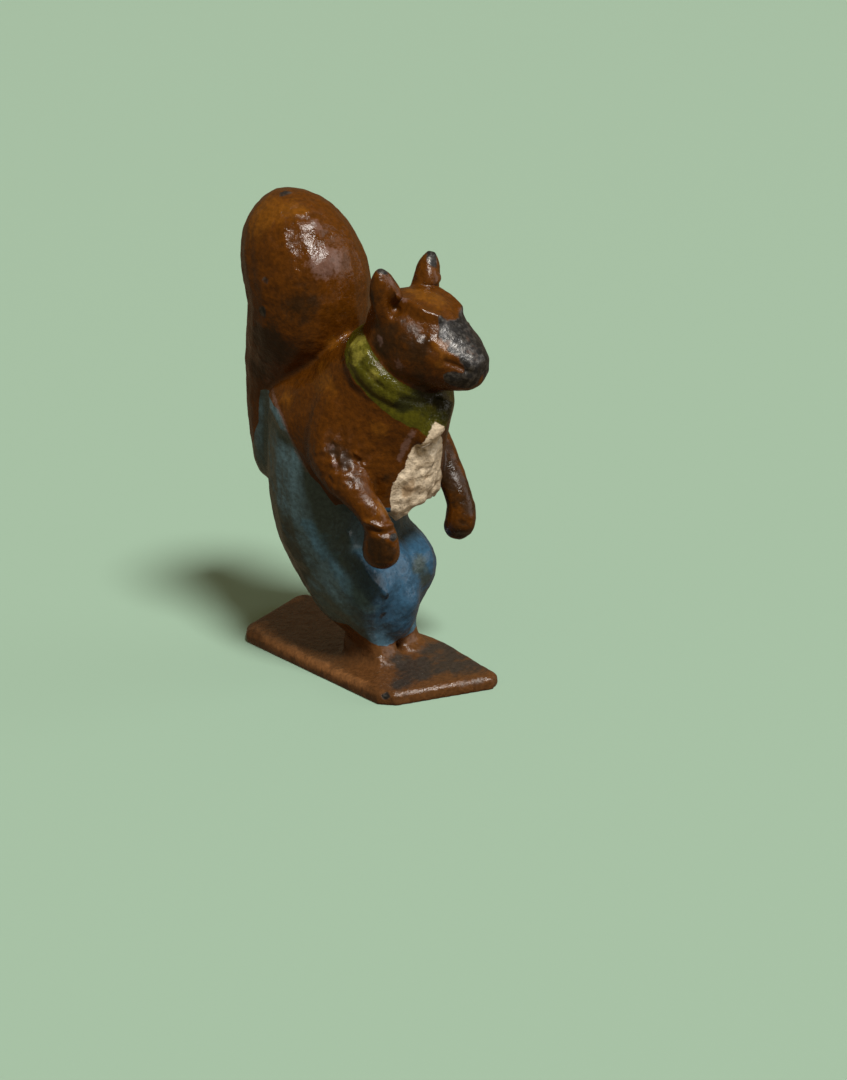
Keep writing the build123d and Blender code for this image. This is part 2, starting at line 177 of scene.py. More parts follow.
# Folds on one side of the neckerchief, repeated on the other
SCARF_FOLDS = [
    ([(-3.3, -5.6, 27.5), (-4.25, -7.0, 26.0), (-4.1, -8.0, 24.9),
      (-3.0, -9.2, 23.7), (-1.5, -10.0, 23.0)], 0.22, -0.14),
    ([(-3.9, -5.4, 26.6), (-4.5, -6.4, 25.1), (-4.2, -7.5, 24.0), (-3.2, -8.8, 22.9)], 0.2, -0.12),
]

# Places where creases are filled out more: place, reach and passes
FILLETS = [
    ((-2.7, -8.0, 30.4), 1.3, 60),
    ((2.9, -7.6, 30.4), 1.3, 60),
    ((-2.3, -8.8, 31.2), 1.0, 80),
    ((3.1, -8.2, 31.2), 1.0, 80),
    ((-4.7, -4.6, 22.0), 3.0, 90),
    ((4.7, -4.6, 22.0), 3.0, 90),
    ((-4.6, -5.6, 19.5), 2.6, 120),
    ((-3.6, 5.2, 20.5), 3.4, 150),
    ((3.6, 5.2, 20.5), 3.4, 150),
    ((-5.3, -2.6, 21.0), 2.4, 150),
    ((5.3, -2.6, 21.0), 2.4, 150),
    ((-4.4, -6.8, 17.4), 1.8, 120),
    ((-3.4, -3.2, 12.6), 2.4, 120),
    ((3.4, -3.2, 12.6), 2.4, 120),
    ((0.0, -4.4, 6.0), 3.4, 120),
    ((0.0, -4.4, 11.5), 3.4, 120),
    ((-2.2, -3.0, 2.0), 3.0, 60),
    ((2.2, -3.0, 2.0), 3.0, 60),
]

# A slit by the elbow that the paint has closed: place, reach and passes
SLIT = ((-4.85, -5.35, 20.1), 1.2, 80)

# Cast grain: size of the lumps, how far they rise and their place in the noise
GRAIN = [(1.9, 0.09, 0), (0.75, 0.045, 10), (0.3, 0.014, 20)]
SHIRT_GRAIN = (0.8, 0.22, 40)
# Flaking at the elbow: place, reach, size of the lumps, how far they rise and their place in the noise
ELBOW_GRAIN = ((-5.5, -5.4, 19.4), 2.2, 0.45, 0.24, 50)
# The plate's share of the grain, and the height up to which its underside is kept flat
PLATE_GRAIN = 0.4
FLAT_UNDER = 0.4

# How strongly a bend in the skin shows as a rubbed edge, a darker crease or a darker crease in the shirt
BEND_PASSES = 2
EDGE_BEND = 7
EDGE_LEAST = 0.15
CREASE_BEND = 8
SHIRT_BEND = 12
SHIRT_BEND_MOST = 0.9
CHIP_SHARE = 0.6

# Paint worn through to bare metal: place and reach, first on one side of the face and repeated on the other
FACE_BARE = [
    ((-0.8, -11.9, 29.0), 0.5), ((-0.6, -12.4, 28.3), 0.8), ((-0.5, -13.0, 27.5), 0.9),
    ((-0.3, -13.6, 26.9), 0.9), ((-1.2, -12.2, 28.1), 0.45), ((-1.1, -12.7, 27.4), 0.5),
    ((-0.2, -14.1, 25.4), 0.6), ((-0.5, -14.0, 26.2), 0.6), ((-1.3, -12.7, 25.1), 0.6),
    ((-0.4, -13.4, 24.6), 0.7), ((-0.9, -13.1, 24.9), 0.6), ((-1.4, -12.6, 25.2), 0.5),
    ((-0.2, -13.9, 24.6), 0.6), ((-1.9, -8.8, 30.9), 0.25), ((-1.5, -9.8, 30.1), 0.25),
    ((-1.2, -11.1, 29.5), 0.3), ((-2.5, -8.6, 32.0), 0.5), ((-2.85, -8.6, 33.0), 0.5),
]
BARE_SPOTS = [
    ((0.4, -12.4, 28.4), 0.8), ((0.6, -13.1, 27.6), 0.8), ((0.8, -13.7, 26.8), 0.8),
    ((0.9, -13.9, 26.2), 0.7), ((0.6, -14.3, 25.6), 0.7), ((0.2, -14.1, 26.1), 0.8),
    ((2.8, -8.3, 32.4), 0.4), ((-0.85, 2.3, 37.7), 0.8), ((-4.7, 1.6, 32.0), 0.5),
    ((-4.8, 2.2, 29.6), 0.6), ((-5.0, -8.9, 13.7), 0.5), ((-2.73, -5.41, 7.36), 0.35),
    ((-2.5, -4.6, 5.6), 0.6), ((-6.0, -7.3, 0.8), 0.5),
]
# Lighter paint: place and reach. Part is thinly laid paint; most is painted light, such as on the lit crown
# and tail top, the lit back of the head and the scarf's lit band, and painted highlights at the wrist and on
# the knees
THIN_AND_LIT_SPOTS = [
    ((0.0, -9.3, 30.8), 1.3), ((0.2, -10.8, 30.2), 1.0), ((3.0, -8.2, 30.9), 0.8),
    ((-1.65, -12.2, 27.6), 0.6), ((-1.6, -12.6, 26.9), 0.6), ((-1.9, -12.2, 26.2), 0.5),
    ((-2.66, 2.8, 36.7), 1.5), ((-3.5, 2.9, 35.8), 1.3), ((-1.4, 0.6, 36.6), 1.2),
    ((-3.9, -3.0, 24.5), 1.8), ((-4.4, 1.0, 22.6), 1.0), ((-3.6, -7.6, 21.4), 1.0),
    ((-2.0, -1.9, 26.9), 0.7), ((-0.7, -2.5, 27.4), 0.7), ((-5.0, -8.1, 15.6), 0.8),
    ((-6.1, -7.6, 14.9), 0.4), ((4.2, 12.6, 1.1), 1.5), ((0.0, -9.4, 19.0), 1.0),
    ((0.1, -4.2, 6.3), 0.5), ((0.6, -4.9, 7.1), 0.5), ((-3.5, -5.4, 27.4), 0.6),
    ((-3.2, -6.1, 27.8), 0.6), ((-4.2, -7.7, 25.6), 0.6), ((-3.9, -6.5, 26.8), 0.7),
]
# Paler bands of the trousers' blue along the near thigh, painted light where the thigh faces the light:
# points and reach
PALE_LINES = [
    ([(-5.5, -0.7, 13.4), (-4.8, -1.5, 11.3), (-4.7, -3.1, 8.7), (-3.7, -4.5, 6.5)], 0.8),
]
# The plate's near top edge, painted lighter as a lit strip: points and reach
PLATE_EDGE = [
    ([(-1.1, 11.0, 1.1), (-3.3, 6.5, 1.0), (-4.4, 2.5, 1.0),
      (-5.0, -0.7, 0.9), (-5.8, -4.6, 0.9)], 1.0),
]
# Paint rubbed to a chalky pink along the coat's edge, the lapel, the cuff and the cheeks, and the same pink
# as a painted sheen and painted highlights on the tail, the elbow's flakes, the brow and the ear's front
# edge: places and reach, and lines and reach
CHALK_AND_SHEEN_SPOTS = [
    ((-1.5, -2.2, 33.2), 1.3), ((-2.3, -1.9, 32.8), 1.1), ((-1.4, -0.9, 35.5), 0.7),
    ((-5.2, -4.8, 20.9), 0.45), ((-5.9, -4.4, 20.2), 0.4), ((-5.15, -5.1, 19.9), 0.45),
    ((-6.2, -5.0, 19.0), 0.35), ((-4.6, -7.6, 16.2), 0.5), ((-3.2, -9.6, 26.3), 0.6),
    ((-3.6, -7.9, 26.2), 0.4), ((-3.4, -8.1, 28.0), 0.5),
]
CHALK_AND_SHEEN_LINES = [
    ([(-3.2, 4.2, 23.7), (-4.75, 1.8, 22.0), (-5.2, 0.8, 21.1),
      (-5.2, -0.1, 19.2), (-5.3, -1.0, 17.8)], 0.3),
    ([(-2.2, -9.2, 20.9), (-2.5, -8.75, 20.0), (-2.8, -8.3, 18.9)], 0.4),
    ([(-6.2, -7.3, 15.1), (-5.9, -8.1, 14.75), (-5.3, -8.6, 14.6)], 0.22),
    ([(-1.6, -9.4, 30.45), (-1.45, -10.7, 29.8), (-1.0, -11.4, 29.4)], 0.28),
    ([(-2.85, -8.7, 32.8), (-2.5, -8.8, 32.0), (-2.1, -8.9, 31.2), (-1.6, -9.3, 30.5)], 0.3),
]
# Paint that has lost its shine: points and reach
MATT_LINES = [
    ([(-5.5, -4.4, 20.8), (-5.6, -5.5, 19.1), (-5.7, -6.4, 18.0), (-5.75, -7.0, 17.2)], 0.9),
    ([(-2.8, -10.0, 29.1), (-2.5, -11.0, 28.6)], 0.8),
]
# Paint that has kept its shine: place and reach
GLOSS_SPOTS = [
    ((-1.55, -9.6, 30.4), 0.6), ((-1.3, -11.0, 29.6), 0.6), ((-1.4, -1.0, 35.4), 1.6),
    ((0.1, -4.2, 6.3), 0.8), ((0.6, -4.9, 7.0), 0.8),
]
# Chips in the shirt front: across the chest, up it, and reach
SHIRT_CHIPS = [
    (-0.1, 3.9, 0.6), (-1.0, 2.4, 0.7), (-2.3, 1.1, 0.6), (-1.2, 5.4, 0.5), (0.4, 2.6, 0.5),
]

# Darker paint: place and reach. On the face it is painted shade, on its sides below the brow and by the ear,
# given on one side and repeated on the other
FACE_SHADE = [
    ((-3.2, -9.4, 28.4), 1.5), ((-2.7, -11.0, 27.4), 1.0), ((-2.6, -10.6, 25.6), 1.1),
    ((-3.2, -8.0, 31.4), 0.8),
]
# Elsewhere it is partly real dirt and worn patches, such as the plate's dark patch, the eye and the far knee,
# and partly painted shade, such as on the near side of the tail, under the jaw and over the scarf's knot, on
# the far arm and on the hand's underside
DARK_SPOTS = [
    ((0.7, -7.2, 1.1), 2.4), ((0.9, -10.6, 1.1), 2.0), ((-4.4, -7.5, 1.1), 1.0),
    ((-2.0, -7.0, 1.1), 1.8), ((3.0, -6.0, 1.1), 1.8), ((-1.2, -4.8, 1.3), 0.9),
    ((-3.4, -8.1, 28.0), 1.0), ((-3.9, -1.0, 30.0), 1.6), ((-3.5, 2.0, 27.5), 2.0),
    ((-4.3, 3.0, 27.0), 1.5), ((-3.5, 5.0, 24.5), 1.5), ((-1.6, -9.9, 23.6), 1.2),
    ((-3.0, -9.1, 23.2), 0.9), ((-6.0, -8.2, 12.8), 0.9), ((-6.0, -8.1, 12.0), 0.7),
    ((-5.7, -8.6, 12.4), 0.9), ((-5.9, -8.1, 13.2), 0.6), ((3.2, -8.2, 10.9), 1.0),
    ((3.8, -7.4, 15.5), 1.7), ((4.0, -8.7, 13.2), 1.5), ((3.7, -6.0, 17.6), 1.5),
    ((-5.6, -4.8, 20.2), 1.0), ((-5.6, -5.6, 19.0), 0.8), ((-5.7, -6.5, 17.9), 0.7),
    ((-1.8, -8.0, 16.0), 0.7), ((-0.7, -10.6, 22.3), 1.3), ((0.8, -10.7, 22.4), 1.3),
    ((-2.27, -11.6, 28.26), 0.42), ((1.45, -5.45, 8.54), 1.0), ((2.1, -5.2, 7.0), 0.8),
    ((-5.2, 1.5, 12.0), 2.0), ((-4.7, 2.0, 9.0), 2.0), ((-3.4, -7.2, 17.5), 0.6),
]


def node_mesh(name):
    """A casting's own mesh in millimetres, with its loose triangles merged."""
    bm = bmesh.new()
    bm.from_mesh(frame["nodes"][name].data)
    bmesh.ops.scale(bm, vec=(1 / MM,) * 3, verts=bm.verts)
    bmesh.ops.remove_doubles(bm, verts=bm.verts, dist=MERGE)
    return bm


def fused_castings():
    """All castings as one closed skin, as if under one coat of paint."""
    joined = bmesh.new()
    for name in CASTINGS:
        bm = node_mesh(name)
        mesh = bpy.data.meshes.new(name)
        bm.to_mesh(mesh)
        bm.free()
        joined.from_mesh(mesh)
        bpy.data.meshes.remove(mesh)
    centre, reach = KNEE_WEB
    web = Matrix.LocRotScale(Vector(centre), None, Vector(reach))
    bmesh.ops.create_uvsphere(joined, u_segments=32, v_segments=16, radius=1.0, matrix=web)
    mesh = bpy.data.meshes.new("castings")
    joined.to_mesh(mesh)
    joined.free()
    body = bpy.data.objects.new("castings", mesh)
    bpy.context.scene.collection.objects.link(body)
    remesh = body.modifiers.new("fuse", "REMESH")
    remesh.mode = "VOXEL"
    remesh.voxel_size = VOXEL
    depsgraph = bpy.context.evaluated_depsgraph_get()
    skin = bpy.data.meshes.new_from_object(body.evaluated_get(depsgraph))
    bpy.data.objects.remove(body)
    bpy.data.meshes.remove(mesh)
    return skin


def neighbour_sum(a, b, values):
    """Each point's sum over its neighbours, along edges from a to b."""
    size = len(values)
    return np.stack([np.bincount(a, v[b], size) + np.bincount(b, v[a], size) for v in values.T], 1)


def neighbour_count(a, b, size):
    """How many neighbours each point has, along edges from a to b."""
    return (np.bincount(a, minlength=size) + np.bincount(b, minlength=size))[:, None]


class Surface:
    """A skin's points and edges as arrays, for smoothing and relief."""

    def __init__(self, mesh):
        self.mesh = mesh
        flat = np.empty(len(mesh.vertices) * 3)
        mesh.vertices.foreach_get("co", flat)
        self.points = flat.reshape(-1, 3)
        ends = np.empty(len(mesh.edges) * 2, int)
        mesh.edges.foreach_get("vertices", ends)
        self.edges = ends.reshape(-1, 2)
        self.count = neighbour_count(*self.edges.T, len(self.points))

    def spread(self, values):
        """Each point's mean over its neighbours."""
        return neighbour_sum(*self.edges.T, values) / self.count

    def normals(self):
        """The skin's outward direction at each point."""
        self.mesh.vertices.foreach_set("co", self.points.ravel())
        self.mesh.update()
        flat = np.empty(self.points.size)
        self.mesh.vertex_normals.foreach_get("vector", flat)
        return flat.reshape(-1, 3)

    def hollow(self):
        """How far each point lies below its neighbours: above zero in a crease, below zero on an edge."""
        return ((self.spread(self.points) - self.points) * self.normals()).sum(1)

    def soften(self, passes):
        """Draws every point towards the middle of its neighbours."""
        for _ in range(passes):
            self.points += SMOOTH_STEP * (self.spread(self.points) - self.points)

    def fill_creases(self, passes, chosen):
        """Fills the creases among the chosen points, and leaves the rest as they are."""
        ends = self.edges[chosen[self.edges].any(1)].T
        ids, ends = np.unique(ends, return_inverse=True)
        a, b = ends.reshape(2, -1)
        count = neighbour_count(a, b, len(ids))
        points, normals, free = self.points[ids], self.normals()[ids], chosen[ids][:, None]
        for _ in range(passes):
            step = neighbour_sum(a, b, points) / count - points
            sunk = (step * normals).sum(1, keepdims=True) > CREASE_LEAST
            points += SMOOTH_STEP * step * (sunk & free)
        self.points[ids] = points

    def near_spot(self, place, reach):
        """One at a place, falling away to nought beyond its reach."""
        away = ((self.points - np.array(place)) ** 2).sum(1)
        return np.exp(-away / reach**2)

    def near_line(self, line, reach):
        """One along a line of points, falling away to nought beyond its reach."""
        away = np.full(len(self.points), np.inf)
        for start, end in zip(line, line[1:]):
            a, run = np.array(start), np.subtract(end, start)
            share = np.clip((self.points - a) @ run / (run @ run), 0, 1)[:, None]
            away = np.minimum(away, ((self.points - a - share * run) ** 2).sum(1))
        return np.exp(-away / reach**2)

    def near_all(self, spots, lines):
        """The sum over spots and lines."""
        total = np.zeros(len(self.points))
        for place, reach in spots:
            total += self.near_spot(place, reach)
        for line, reach in lines:
            total += self.near_line(line, reach)
        return total

    def grain(self, size, shift):
        """Cloudy unevenness between about -1 and 1, taken from its own place in the noise."""
        shift = Vector((shift, 0, 0))
        return np.array([noise.noise(Vector(p) / size + shift) for p in self.points])


def other_side(place):
    """The same place on the other side of the face."""
    across = Vector((cos(HEAD_TURN), sin(HEAD_TURN), 0))
    away = (Vector(place) - HEAD_MIDDLE).dot(across)
    return tuple(Vector(place) - 2 * away * across)


def across_body(place):
    """The same place on the other side of the body."""
    x, y, z = place
    return (-x, y, z)


def both_spots(spots, mirror):
    """Spots with their mirrored copies."""
    return spots + [(mirror(place), *rest) for place, *rest in spots]


def both_lines(lines, mirror):
    """Lines with their mirrored copies."""
    return lines + [([mirror(place) for place in line], *rest) for line, *rest in lines]


def casting_weights(surface):
    """How much each point belongs to each casting, shading over from one to the next at their seams."""
    corners, faces, owner = [], [], []
    for index, name in enumerate(CASTINGS):
        bm = node_mesh(name)
        bm.verts.index_update()
        start = len(corners)
        corners.extend(v.co.copy() for v in bm.verts)
        faces.extend([start + v.index for v in f.verts] for f in bm.faces)
        owner.extend([index] * len(bm.faces))
        bm.free()
    tree = BVHTree.FromPolygons(corners, faces)
    nearest = [owner[tree.find_nearest(Vector(p))[2]] for p in surface.points]
    weights = np.eye(len(CASTINGS))[nearest]
    for _ in range(SEAM_PASSES):
        weights = surface.spread(weights)
    return weights


def model_relief(surface, weights):
    """Lumps, folds, face and cast grain, raised and sunk along the skin's own direction."""
    height = np.zeros(len(surface.points))
    for place, reach, rise in LUMPS + both_spots(FACE_LUMPS, other_side):
        height += rise * surface.near_spot(place, reach)
    lines = LINES + both_lines(FACE_LINES, other_side) + both_lines(SCARF_FOLDS, across_body)
    for line, reach, rise in lines:
        height += rise * surface.near_line(line, reach)
    on = dict(zip(CASTINGS, weights.T))
    figure = 1 - on["base_plate"] - on["solder_plugs"]
    for size, rise, shift in GRAIN:
        height += rise * surface.grain(size, shift) * (PLATE_GRAIN + (1 - PLATE_GRAIN) * figure)
    size, rise, shift = SHIRT_GRAIN
    height += rise * surface.grain(size, shift) * on["shirt_front"]
    place, reach, size, rise, shift = ELBOW_GRAIN
    height += rise * surface.grain(size, shift) * surface.near_spot(place, reach)
    underside = np.clip(1 - surface.points[:, 2] / FLAT_UNDER, 0, 1)
    surface.points += surface.normals() * (height * (1 - underside))[:, None]


def inside(outline, across, up):
    """How far each point lies within an outline, below zero outside it."""
    away = np.full(len(across), np.inf)
    within = np.zeros(len(across), bool)
    for (x0, y0), (x1, y1) in zip(outline, outline[1:] + outline[:1]):
        run = np.array((x1 - x0, y1 - y0))
        share = np.clip(((across - x0) * run[0] + (up - y0) * run[1]) / (run @ run), 0, 1)
        away = np.minimum(away, np.hypot(across - x0 - share * run[0], up - y0 - share * run[1]))
        if y0 != y1:
            crossing = x0 + (up - y0) * (x1 - x0) / (y1 - y0)
            within ^= ((y0 > up) != (y1 > up)) & (across < crossing)
    return np.where(within, away, -away)


def brushed(distance):
    """A paint edge: one well inside it, nought well outside."""
    return np.clip(0.5 + distance / BRUSH, 0, 1)


def paint_masks(surface, weights):
    """Where each paint lies, and where it is worn, lighter with thinly laid paint and painted light, darker
    with dirt and painted shade, and chalky with worn paint and painted sheen, as values from 0 to 1.
    """
    x, y, z = surface.points.T
    on = dict(zip(CASTINGS, weights.T))
    coat_edge = np.interp(y, *np.transpose(COAT_EDGE))
    hem = brushed(z - np.minimum(HEM[0] + HEM[1] * y, HEM_HIGHEST))
    tail_blue = brushed(np.interp(z, *np.transpose(TAIL_EDGE)) - y) * brushed(abs(x) - TAIL_MIDDLE)
    from_waist = surface.points - WAIST
    up = from_waist @ UP
    front = brushed(from_waist @ OUT - SHIRT_OUT)
    shirt = inside(SHIRT_OUTLINE, x, up)
    above_scarf_edge = (surface.points - NECK) @ SCARF_UP - SCARF_LOW
    front_from, front_full = FRONT_BLUE
    masks = {
        "trousers": (on["trousers"] + on["torso"]) * brushed(coat_edge - z) * hem + on["tail"] * tail_blue,
        "shirt": (on["shirt_front"] + on["torso"] + on["neckerchief"]) * brushed(shirt) * front,
        "scarf": (on["neckerchief"] + on["torso"]) * brushed(above_scarf_edge),
        "plate": on["base_plate"] + on["right_foot"] + on["left_foot"] + on["trousers"] * (1 - hem),
        "solder": on["solder_plugs"],
        "front": np.clip((front_from - y) / front_full, 0, 1),
    }
    bend = surface.hollow()[:, None]
    for _ in range(BEND_PASSES):
        bend = surface.spread(bend)
    bend = bend[:, 0] / VOXEL
    masks["edge"] = -bend * EDGE_BEND - EDGE_LEAST
    masks["crease"] = bend * CREASE_BEND
    chips = np.zeros(len(x))
    for across, height, reach in SHIRT_CHIPS:
        chips += np.exp(-((x - across) ** 2 + (up - height) ** 2) / reach**2)
    masks["bare"] = surface.near_all(BARE_SPOTS + both_spots(FACE_BARE, other_side), [])
    masks["bare"] += CHIP_SHARE * chips * masks["shirt"]
    # Lighter: thinly laid paint, with painted light and painted highlights; on the trousers the paler bands
    # are painted light as well
    masks["thin"] = surface.near_all(THIN_AND_LIT_SPOTS, PLATE_EDGE)
    masks["thin"] += masks["trousers"] * surface.near_all([], PALE_LINES)
    # Darker: dirt and worn patches, painted shade, and the shirt front darker in its creases
    masks["dark"] = surface.near_all(DARK_SPOTS + both_spots(FACE_SHADE, other_side), [])
    masks["dark"] += masks["shirt"] * np.clip(bend * SHIRT_BEND, 0, SHIRT_BEND_MOST)
    masks["chalk"] = surface.near_all(CHALK_AND_SHEEN_SPOTS, CHALK_AND_SHEEN_LINES)
    masks["matt"] = surface.near_all([], MATT_LINES)
    masks["gloss"] = surface.near_all(GLOSS_SPOTS, [])
    return {name: np.clip(values, 0, 1) for name, values in masks.items()}


def smooth_seams(surface, owner, face_starts, corners):
    """Draws the seams between pieces as smooth lines along the skin."""
    sizes = np.diff([*face_starts, len(corners)])
    face_of = np.repeat(np.arange(len(owner)), sizes)
    low = np.full(len(surface.points), len(CASTINGS))
    high = np.full(len(surface.points), -1)
    np.minimum.at(low, corners, owner[face_of])
    np.maximum.at(high, corners, owner[face_of])
    on_seam = low != high
    a, b = surface.edges.T
    along = on_seam[a] & on_seam[b]
    a, b = a[along], b[along]
    points = surface.points
    count = np.maximum(neighbour_count(a, b, len(points)), 1)
    for _ in range(SEAM_LINE_PASSES):
        step = neighbour_sum(a, b, points) / count - points
        points[on_seam] += SEAM_STEP * step[on_seam]


def part_skin(surface, weights, masks):
    """Parts the painted skin at its seams into one closed piece for each casting."""
    mesh = surface.mesh
    corners = np.empty(len(mesh.loops), int)
    mesh.loops.foreach_get("vertex_index", corners)
    starts = np.empty(len(mesh.polygons), int)
    mesh.polygons.foreach_get("loop_start", starts)
    owner = np.add.reduceat(weights[corners], starts, axis=0).argmax(1)
    smooth_seams(surface, owner, starts, corners)
    normals = surface.normals()
    mesh.attributes.new("skin_normal", "FLOAT_VECTOR", "POINT").data.foreach_set("vector", normals.ravel())
    for name, values in masks.items():
        mesh.attributes.new(name, "FLOAT", "POINT").data.foreach_set("value", values)
    for index, name in enumerate(CASTINGS):
        bm = bmesh.new()
        bm.from_mesh(mesh)
        bm.faces.ensure_lookup_table()
        others = [bm.faces[i] for i in np.flatnonzero(owner != index)]
        bmesh.ops.delete(bm, geom=others, context="FACES")
        close_piece(bm)
        bmesh.ops.scale(bm, vec=(MM,) * 3, verts=bm.verts)
        piece = new_object(name + "_skin", bm, MATERIALS[SLOTS[name]])
        flat = np.empty(len(piece.data.vertices) * 3, np.float32)
        piece.data.attributes["skin_normal"].data.foreach_get("vector", flat)
        piece.data.normals_split_custom_set_from_vertices(flat.reshape(-1, 3))
        piece.data.attributes.remove(piece.data.attributes["skin_normal"])
        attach(piece, "root")
        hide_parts(name)


def close_piece(bm):
    """Closes the openings that a piece has at its seams, each with a cone of faces inside the figure."""
    skin_normal = bm.verts.layers.float_vector["skin_normal"]
    for vert in list(bm.verts):
        rim = [e for e in vert.link_edges if e.is_boundary]
        if len(rim) > 2:
            bmesh.utils.vert_separate(vert, rim)
    left = dict.fromkeys(e for e in bm.edges if e.is_boundary)
    while left:
        edge = next(iter(left))
        del left[edge]
        corner = edge.link_loops[0]
        start, vert = corner.vert, corner.link_loop_next.vert
        loop = [(start, vert)]
        while vert is not start:
            edge = next(e for e in vert.link_edges if e in left)
            del left[edge]
            loop.append((vert, edge.other_vert(vert)))
            vert = edge.other_vert(vert)
        inward = sum((a[skin_normal] for a, _ in loop), Vector()) * -CONE_DEPTH
        tip = bm.verts.new((sum((a.co for a, _ in loop), Vector()) + inward) / len(loop))
        for a, b in loop:
            bm.faces.new((b, a, tip))


def new_object(name, bm, material):
    """An object in the scene from a finished mesh, smooth and in one material."""
    mesh = bpy.data.meshes.new(name)
    bm.to_mesh(mesh)
    bm.free()
    mesh.polygons.foreach_set("use_smooth", [True] * len(mesh.polygons))
    mesh.materials.append(material)
    made = bpy.data.objects.new(name, mesh)
    bpy.context.scene.collection.objects.link(made)
    return made


# Paint and metal colours. The lighter shades are thinly laid paint and also painted light, the darker shades
# dirt and also painted shade, the chalky pink worn paint and also a painted sheen, and the crease colour
# darkens creases
FUR = (0.098, 0.030, 0.0015)
FUR_THIN_AND_LIT = (0.165, 0.058, 0.004)
FUR_DARK = (0.036, 0.014, 0.003)
TROUSERS = (0.080, 0.145, 0.168)
TROUSERS_FRONT = (0.032, 0.094, 0.165)
TROUSERS_PALE = (0.085, 0.195, 0.270)
TROUSERS_DARK = (0.048, 0.076, 0.078)
SHIRT = (0.78, 0.66, 0.49)
SHIRT_PALE = (0.90, 0.83, 0.70)
SHIRT_DARK = (0.45, 0.32, 0.19)
SCARF = (0.075, 0.072, 0.004)
SCARF_PALE = (0.24, 0.22, 0.034)
SCARF_DARK = (0.020, 0.022, 0.003)
PLATE = (0.115, 0.048, 0.015)
PLATE_PALE = (0.24, 0.105, 0.036)
PLATE_DARK = (0.042, 0.033, 0.026)
METAL = (0.045, 0.045, 0.046)
METAL_PALE = (0.15, 0.147, 0.142)
CHALK_AND_SHEEN = (0.25, 0.165, 0.150)
CREASE_DARKENING = (0.018, 0.009, 0.004)
PIN_WIRE = (0.68, 0.50, 0.25)

# Clouds in the paint: size in millimetres, detail and roughness
BROAD = (3.2, 3.0, 0.55)
PATCHY = (1.1, 5.0, 0.65)
FINE = (0.35, 4.0, 0.6)
TARNISH = (0.4, 3.0, 0.55)
CLOUD_MEAN = 0.5

# How far the clouds shade a paint, and shake its edges, its wear and its chalky streaks of worn paint and
# painted sheen
TONE_PATCHY = 1.6
TONE_BROAD = 0.6
EDGE_SHAKE = 0.7
WEAR_SHAKE = 1.1
STREAK_SHAKE = 1.8

# How much each mask counts
THIN_AND_LIT_SHARE = 0.8
DARK_SHARE = 0.8
EDGE_SHARE = 0.45
BARE_SHARE = 0.75
CREASE_SHARE = 0.32
CHALK_AND_SHEEN_SHARE = 0.40

# Where a mask begins to show and where it is full
LAID_STEP = (0.46, 0.54)
THIN_AND_LIT_STEP = (0.30, 0.80)
DARK_STEP = (0.25, 0.85)
CHALK_AND_SHEEN_STEP = (0.45, 1.0)
BARE_STEP = (0.44, 0.72)
METAL_STEP = (0.42, 0.68)

# Fine speckle: the range of the cloud and the shades that it gives
SPECKLE = (0.30, 0.70, 0.78, 1.25)

# Roughness: the range of the patchy cloud and what it gives, then what each of these adds
ROUGH_PATCHY = (0.35, 0.62, 0.32, 0.12)
ROUGH_FINE = 0.06
ROUGH_SHIRT = 0.25
ROUGH_BARE = 0.15
ROUGH_MATT = 0.15
ROUGH_GLOSS = -0.09
ROUGH_WIRE = 0.3
ROUGH_TARNISH = 0.2
TARNISH_SHADE = 0.5

# Brush marks: shares of the fine cloud and of bare metal, and their depth in each paint in millimetres
MARKS_FINE = 0.6
MARKS_BARE = -0.25
MARKS_DEPTH = {
    "fur_paint": 0.09, "trouser_paint": 0.08, "shirt_paint": 0.22, "scarf_paint": 0.16,
    "plate_paint": 0.13, "foot_paint": 0.13, "solder": 0.05,
}
METALLIC_BARE = 0.75
SPECULAR = 0.45

# Sockets of the colour mixing node
MIX_SHARE, MIX_FIRST, MIX_SECOND, MIX_RESULT = 0, 6, 7, 2


# Materials
def set_input(tree, node, name, value):
    """Sets a node's input, or links it to another node's output."""
    socket = node.inputs[name]
    if isinstance(value, bpy.types.NodeSocket):
        tree.links.new(value, socket)
    else:
        socket.default_value = value


def add_node(tree, kind, **inputs):
    """A shader node with its inputs set."""
    node = tree.nodes.new("ShaderNode" + kind)
    for name, value in inputs.items():
        set_input(tree, node, name, value)
    return node


def maths(tree, operation, *values):
    """The outcome of a maths node."""
    node = tree.nodes.new("ShaderNodeMath")
    node.operation = operation
    for index, value in enumerate(values):
        set_input(tree, node, index, value)
    return node.outputs[0]


def times(tree, value, share):
    return maths(tree, "MULTIPLY", value, share)


def plus(tree, value, share, base):
    """A share of a value, added to a base."""
    return maths(tree, "MULTIPLY_ADD", value, share, base)


def ramp(tree, value, low, high, low_out=0.0, high_out=1.0):
    """A smooth rise between two values."""
    node = tree.nodes.new("ShaderNodeMapRange")
    node.interpolation_type = "SMOOTHSTEP"
    for index, part in enumerate((value, low, high, low_out, high_out)):
        set_input(tree, node, index, part)
    return node.outputs[0]


def mix(tree, share, first, second, blend="MIX"):
    """A second colour laid over a first."""
    node = tree.nodes.new("ShaderNodeMix")
    node.data_type = "RGBA"
    node.blend_type = blend
    for index, value in ((MIX_SHARE, share), (MIX_FIRST, first), (MIX_SECOND, second)):
        if isinstance(value, tuple):
            value = (*value, 1)
        set_input(tree, node, index, value)
    return node.outputs[MIX_RESULT]


def attribute(tree, name):
    """A mask that is stored on the skin."""
    node = tree.nodes.new("ShaderNodeAttribute")
    node.attribute_name = name
    return node.outputs["Fac"]


def cloud(tree, place, size_mm, detail, rough):
    """Cloudy noise from 0 to 1."""
    scale = 1 / (size_mm * MM)
    node = add_node(tree, "TexNoise", Vector=place, Scale=scale, Detail=detail, Roughness=rough)
    return node.outputs["Fac"]


